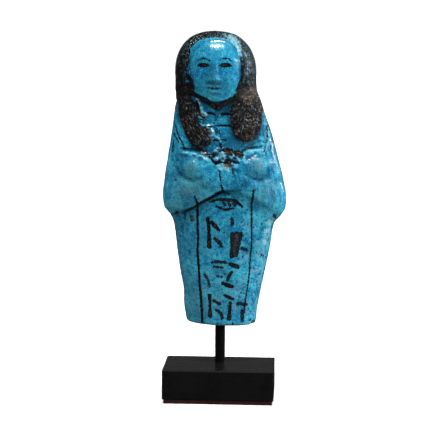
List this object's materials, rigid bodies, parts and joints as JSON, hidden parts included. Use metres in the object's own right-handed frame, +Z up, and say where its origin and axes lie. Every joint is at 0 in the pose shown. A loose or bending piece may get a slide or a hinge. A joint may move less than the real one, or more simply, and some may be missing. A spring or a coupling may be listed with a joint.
{
  "type": "ushabti figurine on a stand",
  "caption": "Mummy-shaped blue-glazed faience figurine with a black wig and crossed arms, broken off at the shins, held on a short rod over a small black block.",
  "frame": {"origin": "centre of the felt pad's underside, which the stand rests on", "axes": "+Z up along the figure's height; the figure faces -Y and +X is to the right of someone facing it"},
  "size_m": [0.0389, 0.0238, 0.117],
  "materials": {
    "glaze": "gloss",
    "rod_paint": "satin",
    "block_paint": "satin",
    "felt": "matte"
  },
  "bodies": {
    "root": {"figurine": "glaze", "mount_rod": "rod_paint", "base_block": "block_paint", "felt_pad": "felt"}
  },
  "joints": []
}
